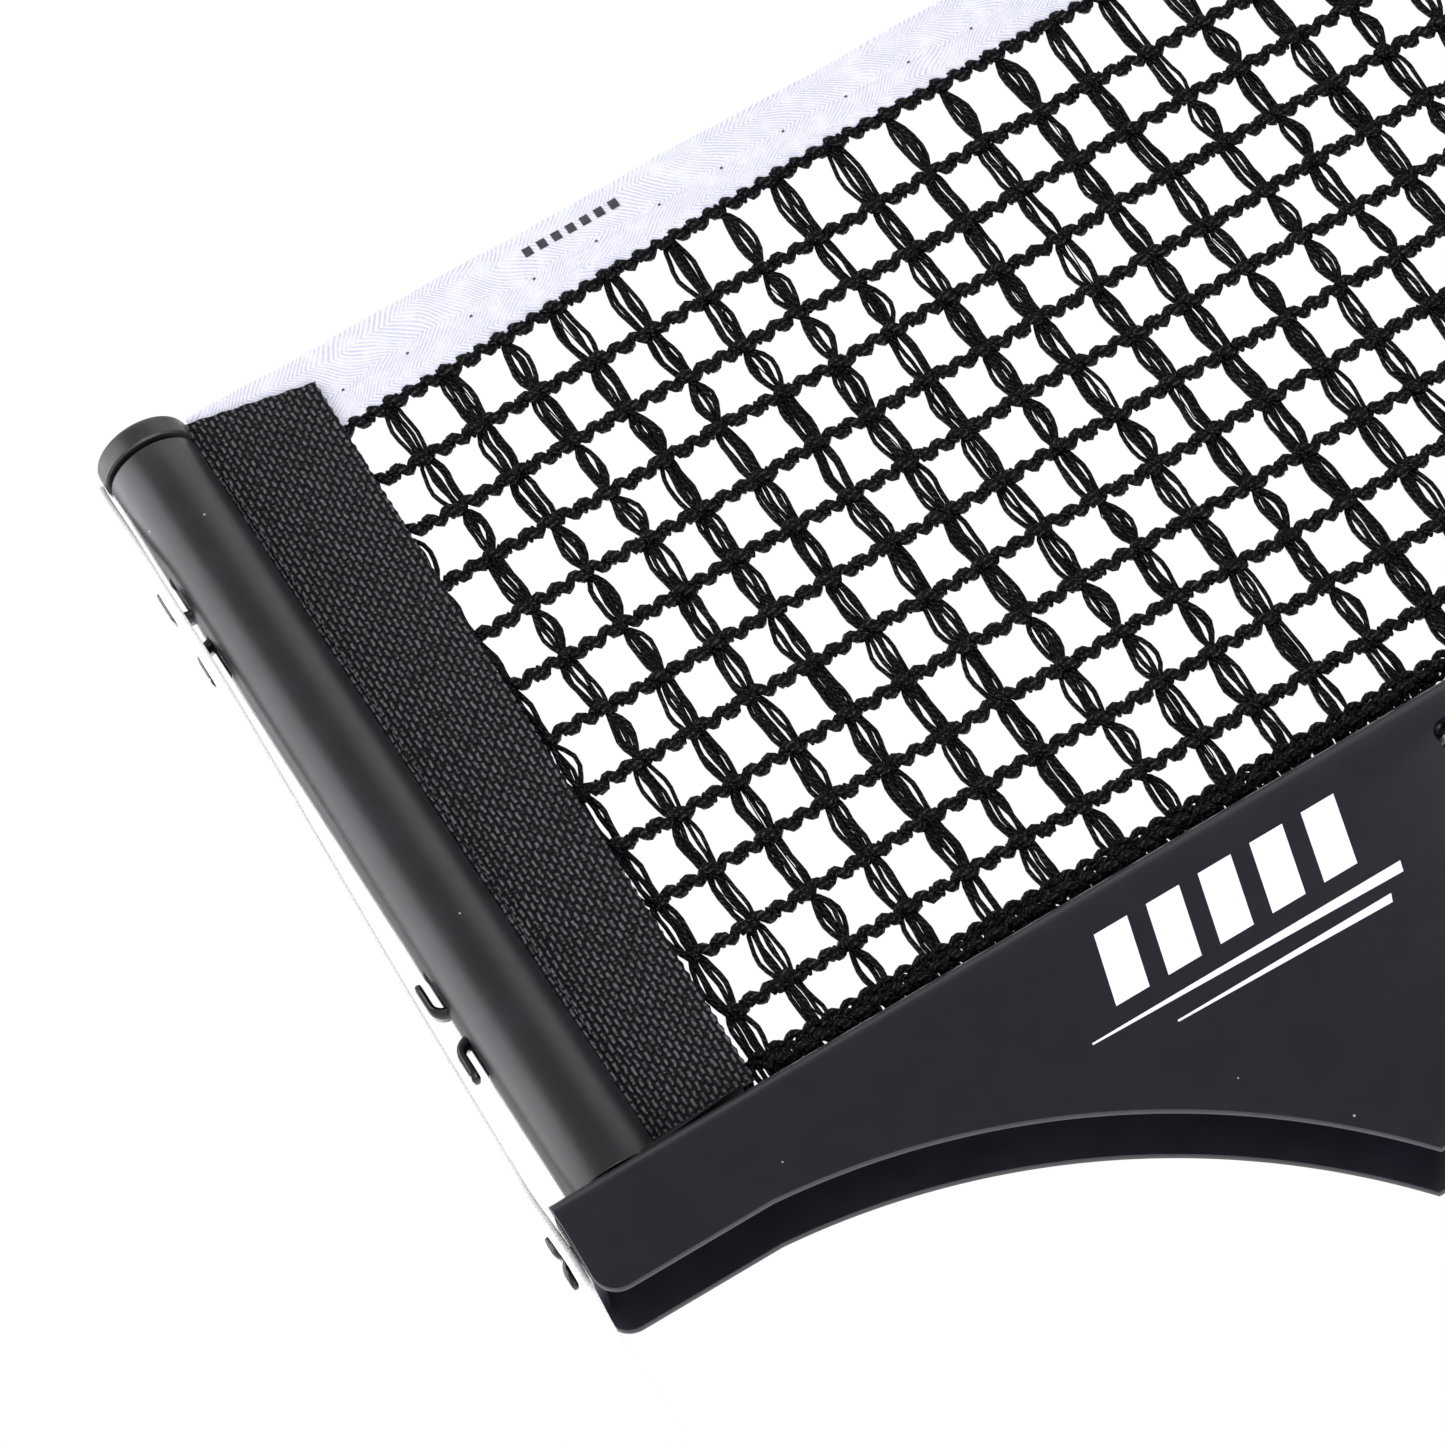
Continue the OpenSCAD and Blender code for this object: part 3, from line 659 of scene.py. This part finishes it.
POST_R, WALL, RIM = 7.5, 1.2, 143.3
SLOT_HALF, TONGUE_HALF, SIDES = 11.25, 15, 96
openings = [(116.4, 123.9), (103.9, 111.7), (37.4, 44.2), (24.8, 31.4)]
levels = sorted({0.0, RIM, *(z for opening in openings for z in opening), *range(12, 140, 12)})
post = Shape()
for z0, z1 in zip(levels, levels[1:]):
    cut = any(a <= (z0 + z1) / 2 <= b for a, b in openings)
    for k in range(SIDES):
        from_slot = min(k + 0.5, SIDES - k - 0.5) * 360 / SIDES
        if from_slot < SLOT_HALF or (cut and from_slot > 180 - TONGUE_HALF):
            continue
        a = [TAU * (k + d) / SIDES for d in (0, 1)]
        post.grid([[Vector((POST_R * math.cos(t), POST_R * math.sin(t), z)) for t in a] for z in (z0, z1)])
post.piece("tube", tube_steel, "arm", ["post_tube"], weld=0.01, thick=WALL, bevel=0.22)
hooks = Shape()
for root, way, reach in ((117, 1, 2.85), (111, -1, 2.85), (37.3, 1, 2.15), (31.7, -1, 2.2)):
    tongue(hooks, POST_R, root, way, reach, 6.2, 3.6, 1.15 if way > 0 else 1.4)
hooks.piece("tube_tongues", tongue_steel, "arm", weld=0.01, angle=60)

cap = Shape()
CAP_FROM, CAP_R, CAP_H, CAP_EDGE = RIM + 0.9, POST_R + 0.3, 4.0, 1.1
profile = [(0, -6), (5.9, -6), (6.2, -5.7), (6.2, -0.9), (5.4, -0.8), (5.4, 0), (CAP_R - 0.3, 0)]
profile += [(CAP_R, 0.3), (CAP_R + 0.02, 1.5), (CAP_R, 2.9)]
profile += arc(CAP_R - CAP_EDGE, CAP_H - CAP_EDGE, CAP_EDGE, 10, 90, 8)
profile += [(CAP_R - 2.5, CAP_H + 0.02), (3, CAP_H + 0.1), (0, CAP_H + 0.12)]
cap.lathe(profile, (0, 0, CAP_FROM), 128)
cap.piece("cap", cap_plastic, "arm", ["post_cap"], weld=0.001, angle=30)


# ---- net: everything follows one line in plan, straight and then rolled up ----

ROLL_X, ROLL_R, ROLL_END, ROLL_STEP = 256.0, 25.9, 4.0, 1.3
TAPE_TOP, TAPE_FROM = 149.0, 8.4


def part(value, low, high):
    """How far value is from low to high, from 0 to 1."""
    return min(max((value - low) / (high - low), 0), 1)


def plan(s):
    """The net's line in plan: its point and its front side's direction, s from the post's axis."""
    if s <= ROLL_X:
        return Vector((s, 0, 0)), Vector((0, -1, 0))
    gone = ROLL_R**2 - ROLL_STEP * (s - ROLL_X) / math.pi
    angle = (ROLL_R - math.sqrt(max(gone, 0))) * TAU / ROLL_STEP
    r = ROLL_R - ROLL_STEP * angle / TAU
    out = Vector((math.sin(angle), -math.cos(angle), 0))
    return Vector((ROLL_X, ROLL_R, 0)) + out * r, out


def cloth(s, z, front=0.0):
    """A place on the net, front millimetres before its middle."""
    point, out = plan(s)
    return point + out * front + Vector((0, 0, z))


def ripple(s, seed, size):
    """A small uneven wave along the net."""
    short, middle = 0.6 * math.sin(s / 3.1 + 2.1 * seed), math.sin(s / 7.3 + seed)
    return size * (middle + short + 0.8 * math.sin(s / 17.0 + seed * 3.3)) / 2.4


def tape_foot(s):
    return 133.2 + 2.5 * part(s, 27, 107) + ripple(s, 4.0, 0.25)


last = ROLL_X + math.pi * (ROLL_R**2 - ROLL_END**2) / ROLL_STEP
stations = [TAPE_FROM + 1.6 * i for i in range(156)]
while stations[-1] < last - 6:
    stations.append(stations[-1] + 3)
rows = []
for s in stations:
    loose = 1 - part(s, ROLL_X - 12, ROLL_X)
    foot, top = tape_foot(s), TAPE_TOP + ripple(s, 1.0, 0.35) * loose
    wave = ripple(s, 2.2, 0.18) * loose
    half = 0.45 + 0.55 * loose
    leaf = [(half * 0.75 + wave * 1.5, foot), (half * 0.8 + wave, foot + 4), (half, foot + 8)]
    fold = arc(0, top - half, half, 0, 180, 8)
    behind = [(-half, foot + 8), (-half * 0.8 + wave, foot + 4), (-half * 0.75 + wave * 1.5, foot + 0.2)]
    rows.append([cloth(s, z, front) for front, z in leaf + fold + behind])
heights = [0, 4, 8, 13, 13.2, 13.5, 13.8, 14, 14.2, 14.5, 14.8, 15, 20, 24, 28]
tape = Shape()
tape.grid(rows, marks=lambda i, j: (stations[i], heights[j]))
tape_piece = tape.piece(
    "tape", white_tape, "arm", ["net_tape"], "cloth", thick=0.3, angle=60, flip=True
)

headline = Shape()
headline.tube([cloth(-7.4 + 3 * i, TAPE_TOP - 2.8, 0) for i in range(90)], 0.8, 10)
headline.piece("headline", white_cord, "arm", ["headline_cord"], "yarn")

dashes = Shape()
for i in range(7):
    s0 = 67 + 2.6 * i
    spots = [(s0, 143.9), (s0 + 1.5, 143.9), (s0 + 1.5, 145.6), (s0, 145.6)]
    dashes.outline([spots], lambda u, v: (u, -1.12 - ripple(u, 2.2, 0.18), v))
dashes.piece("tape_print", print_dark, "arm", thick=0.04)

# sleeve: two leaves over the net's end, and a loop round the rod inside the tube
SLEEVE_FOOT, SLEEVE_FROM, SLEEVE_TOP = 3.0, 7.3, 147.1
FOOT_W, HEAD_W, HEAD_SLOPE = 17.1, 20.9, 0.23
sleeve = Shape()
for side in (-1, 1):
    rows, marks = [], []
    for rise in (i / 300 for i in range(301)):
        row, spots = [], []
        for u in (j / 24 for j in range(25)):
            foot_x, head_x = SLEEVE_FROM + FOOT_W * u, SLEEVE_FROM + HEAD_W * u
            top = SLEEVE_TOP - HEAD_SLOPE * HEAD_W * u + 0.12 * math.sin(head_x * 9)
            z = SLEEVE_FOOT + (top - SLEEVE_FOOT) * rise
            x = foot_x + (head_x - foot_x) * rise + (0.14 * math.sin(z * TAU / DASH) if u in (0, 1) else 0)
            spots.append((x, z))
            row.append(Vector((x, side * (1.85 + 0.12 * math.sin(z / 23 + side)), z)))
        rows.append(row)
        marks.append(spots)
    sleeve.grid(rows, marks=lambda i, j: marks[i][j])
loop = [(8.4, -1.7), (7.6, -1.3), (6.0, -1.1), (4.9, -1.7), (3.4, -2.2), (1.6, -1.4), (1.1, 0)]
loop += [(x, -y) for x, y in loop[-2::-1]]
levels = [22 + 2.26 * i for i in range(51)]
sleeve.grid([[Vector((x, y, z)) for x, y in loop] for z in levels], marks=lambda i, j: (1.5 * j, levels[i]))
sleeve_piece = sleeve.piece(
    "sleeve", black_cloth, "arm", ["fabric_sleeve"], "cloth", thick=0.35, angle=50
)

# mesh of the net
PITCH_S, PITCH_Z, ROWS = 10.15, 10.7, 12
columns = [26.05 + PITCH_S * i for i in range(39)]


def foot_lift(s):
    """The net's foot lies a little higher over the jaw, which it clears at the lowest height."""
    t = part(s, 132, 146)
    return 1.2 * t * t * (3 - 2 * t)


def knot_at(i, j):
    """The knot of column i and row j, as (s, z)."""
    s = columns[i]
    z = 132.5 - PITCH_Z * j
    if j == 0:
        z = tape_foot(s) - 0.4
    if j == ROWS:
        z += foot_lift(s)
    drift = 1.5 * math.exp(-(s - 26) / 45) * (1 - z / 132)
    chance = random.Random(i * 40 + j)
    wobble = 0 if j == 0 else 0.35
    return s + drift + chance.uniform(-0.45, 0.45), z + chance.uniform(-wobble, wobble)


knots = [[knot_at(i, j) for j in range(ROWS + 1)] for i in range(len(columns))]
strands = Shape()
for i in range(len(columns)):
    seen = columns[i] < ROLL_X
    for lane in (-1.0, -0.55, -0.1, 0.4, 0.85) if seen else (-0.9, 0, 0.9):
        chance = random.Random(i * 10 + lane)
        path = []
        for j in range(ROWS):
            (s0, z0), (s1, z1) = knots[i][j], knots[i][j + 1]
            mirror = 1 if random.Random(i * 50 + j).random() < 0.75 else -1
            spread = mirror * (1.75 * lane - 0.25) + chance.uniform(-0.35, 0.35)
            bend, phase = chance.uniform(0.08, 0.26), chance.uniform(0, TAU)
            depth = chance.uniform(-0.45, 0.45)
            for t in (0.0, 0.13, 0.27, 0.42, 0.58, 0.73, 0.87) if seen else (0.0, 0.25, 0.5, 0.75):
                bulge = math.sin(math.pi * t) ** 0.7 if t else 0
                side = spread * bulge + 0.75 * lane * (1 - bulge) + bend * math.sin(9 * t + phase) * bulge
                front = depth * bulge - 0.4 * (1 - bulge)
                path.append(cloth(s0 + (s1 - s0) * t + side, z0 + (z1 - z0) * t, front))
        path.append(cloth(*knots[i][ROWS], -0.3))
        strands.tube(path, chance.uniform(0.36, 0.48), 6 if seen else 4)
    filament = random.Random(i)
    path = []
    for j in range(ROWS if seen else 0):
        (s0, z0), (s1, z1) = knots[i][j], knots[i][j + 1]
        drift = filament.uniform(-1.3, 1.0)
        middle = (z0 + z1) / 2
        path += [cloth(s0, z0), cloth(s0 + drift, middle + 2, 0.3), cloth(s1 + drift * 0.9, middle - 2, 0.3)]
    if seen:
        strands.tube(path, 0.13, 3)
strands_piece = strands.piece("net_strands", strand_yarn, "arm", ["net_panel"], "yarn", angle=80)


def winding(points, thread, swing, pitch, phase):
    """A yarn, thread millimetres in radius, that winds round its own line."""
    path, length = [], 0.0
    for a, b in zip(points, points[1:] + points[-1:]):
        angle = TAU * (length / pitch + phase)
        out = (b - a).cross(Vector((0, 0, 1))).normalized() if (b - a).length else Vector()
        path.append(a + Vector((0, 0, swing * math.cos(angle))) + out * (swing * 0.8 * math.sin(angle)))
        length += (b - a).length
    cords.tube(path, thread, 6)


cords = Shape()
for j in range(ROWS + 1):
    points = []
    for i in range(len(columns) - 1):
        (s0, z0), (s1, z1) = knots[i][j], knots[i + 1][j]
        turns = 20 if columns[i] < ROLL_X else 12
        for t in (n / turns for n in range(turns)):
            sag = -0.2 * math.sin(math.pi * t)
            points.append(cloth(s0 + (s1 - s0) * t, z0 + (z1 - z0) * t + sag, 0.2))
    winding(points, 0.87, 0.68, 3.25, 0.37 * j)
    winding(points, 0.42, 0.86, 1.9, 0.2 + 0.61 * j)

# the close-worked band along the foot: two wound rows, and a comb of short stitches down to the edge
BAND_FROM, BAND_Z, FOOT_Z = 24.8, 5.6, 2.7
band = [BAND_FROM + 0.5 * i for i in range(772)]
for z, thread, swing, pitch in ((6.5, 0.66, 0.42, 3.1), (5.5, 0.6, 0.3, 1.9), (2.6, 0.42, 0.2, 1.9)):
    lift = 1.0 if z < FOOT_Z else 0.0
    winding([cloth(s, z + ripple(s, 5.0, 0.15) + lift * foot_lift(s)) for s in band], thread, swing, pitch, z)
for i in range(400):
    s = BAND_FROM + 0.3 + 0.96 * i + random.uniform(-0.14, 0.14)
    lean = random.uniform(-0.25, 0.25)
    foot = FOOT_Z + foot_lift(s)
    stitch = [cloth(s, BAND_Z), cloth(s + lean, (BAND_Z + foot) / 2, 0.15), cloth(s, foot)]
    cords.tube(stitch, random.uniform(0.38, 0.5), 5)

# small knots where the rows cross the columns
for s, z in (spot for column in knots for spot in column):
    for slant in (-0.5, 0.6):
        turn = [(0.5 + 0.75 * c, 0.8 * c, 0.05 + 0.85 * w) for c, w in arc(0, 0, 1, 0, 360, 8)]
        cords.tube([cloth(s + slant * along, z + rise, front) for along, rise, front in turn], 0.33, 4)
cords_piece = cords.piece("net_cords", plied_yarn, "arm", layer="yarn", angle=80)


def roll_look():
    """The roll under its outer turn: its turns show as rings on the ends, and as rows round the side, raised
    by bump and paler on their crests, a painted highlight.
    """
    look = Look("net_black_roll", (0.01, 0.01, 0.011), 0.8, Specular_IOR_Level=0.1)
    *across, height = look.axes()
    offsets = [look.calc("SUBTRACT", value, middle) for value, middle in zip(across, at(ROLL_X, ROLL_R, 0))]
    squares = [look.calc("MULTIPLY", value, value) for value in offsets]
    rings = look.wave(look.calc("SQRT", look.calc("ADD", *squares)), ROLL_STEP * MM)
    weave = look.calc("MULTIPLY", look.calc("ADD", rings, look.wave(height, 1.8 * MM)), 0.5)
    # painted highlight: the crests of the turns and rows take the paler colour, broken up by noise
    uneven = look.calc("MULTIPLY", look.step(weave, 0.3, 0.85), look.step(look.noise(0.8, 3), 0.3, 0.6))
    look.colour(uneven, (0.002, 0.002, 0.0025), (0.045, 0.045, 0.05))
    look.bump(weave, 0.3, 0.7)
    return look


core = Shape()
CORE_FOOT, CORE_HOLE = 3.4, 3.5
outline = []
for z in (CORE_FOOT + i for i in range(131)):
    outline.append((ROLL_R - 2.0 - 0.5 * abs(math.sin(math.pi * (z - 3) / PITCH_Z)), z))
outline = [(CORE_HOLE, CORE_FOOT)] + outline + [(CORE_HOLE, outline[-1][1])]
core.lathe(outline, (ROLL_X, ROLL_R, 0), 90, closed=True)
core.piece("net_core", roll_look(), "arm", ["net_roll"], weld=0.01, angle=50)

# the strap laps over its own start by an eighth of a turn
STRAP_FOOT, STRAP_H = 66, 16
rows = []
for t in (i / 120 for i in range(121)):
    angle, r = TAU * t * 1.12 - 0.4, ROLL_R + 1.3 + 0.9 * t
    x, y = ROLL_X + r * math.sin(angle), ROLL_R - r * math.cos(angle)
    rows.append([Vector((x, y, STRAP_FOOT + STRAP_H * h / 8)) for h in range(9)])
strap = Shape()
strap.grid(rows)
strap.piece("strap", strap_cloth, "arm", ["roll_strap"], thick=0.9, bevel=0.2, flip=True)


# ---- floor and light ----

FLOOR_HALF, FLOOR_Z = 2500, -760
ROOM, BACKDROP = 0.4, 1.15

floor_look = Look("floor", (0.9, 0.9, 0.9), 0.9)
floor_look.colour(floor_look.noise(60, 3), (0.9, 0.9, 0.9), (0.93, 0.93, 0.93))
mesh = bpy.data.meshes.new("floor")
corners = [(FLOOR_HALF * x, FLOOR_HALF * y) for x, y in ((-1, -1), (1, -1), (1, 1), (-1, 1))]
mesh.from_pydata([at(x, y, FLOOR_Z) for x, y in corners], [], [(0, 1, 2, 3)])
mesh.materials.append(floor_look.material)
floor = bpy.data.objects.new("floor", mesh)
bpy.context.scene.collection.objects.link(floor)

# the room's light: dim behind the camera and bright at the back, while the camera itself sees plain white
world = bpy.data.worlds.new("studio")
bpy.context.scene.world = world
world.use_nodes = True
tree = world.node_tree
shader = tree.nodes["Background"]
direction = tree.nodes.new("ShaderNodeTexCoord").outputs["Generated"]
parts = tree.nodes.new("ShaderNodeSeparateXYZ")
tree.links.new(direction, parts.inputs[0])
backdrop = tree.nodes.new("ShaderNodeMapRange")
backdrop.interpolation_type = "SMOOTHSTEP"
for socket, value in (("From Min", -0.75), ("From Max", 0.25), ("To Min", ROOM), ("To Max", BACKDROP)):
    backdrop.inputs[socket].default_value = value
tree.links.new(parts.outputs["Y"], backdrop.inputs["Value"])
light_path = tree.nodes.new("ShaderNodeLightPath")
strength = tree.nodes.new("ShaderNodeMix")
tree.links.new(light_path.outputs["Is Camera Ray"], strength.inputs["Factor"])
tree.links.new(backdrop.outputs["Result"], strength.inputs["A"])
strength.inputs["B"].default_value = 1.0
tree.links.new(strength.outputs["Result"], shader.inputs["Strength"])
shader.inputs["Color"].default_value = (1, 1, 1, 1)


def panel(name, azimuth, elevation, distance, size, radiance, colour=(1, 1, 1)):
    """A soft light panel that faces the object from a direction."""
    data = bpy.data.lights.new(name, "AREA")
    data.shape = "RECTANGLE"
    data.size, data.size_y = size[0] * MM, size[1] * MM
    data.energy = radiance * math.pi * data.size * data.size_y
    data.color = colour
    light = bpy.data.objects.new(name, data)
    bpy.context.scene.collection.objects.link(light)
    away = towards(azimuth, elevation)
    light.location = at(50, 0, 60) + away * distance * MM
    light.rotation_mode = "QUATERNION"
    light.rotation_quaternion = (-away).to_track_quat("-Z", "Y")
    light.visible_camera = False


panel("key", -83, 27, 650, (950, 700), 3.25, (0.97, 0.945, 1.0))
panel("back", 172, 24, 900, (900, 700), 3.2)
panel("top_right", 55, 30, 800, (560, 700), 1.0, (0.96, 0.93, 1.0))
panel("top", 18, 66, 900, (700, 420), 1.2)
panel("low", 25, -52, 750, (420, 260), 9.5, (0.95, 0.95, 1.0))
bpy.context.scene.view_settings.view_transform = "Standard"
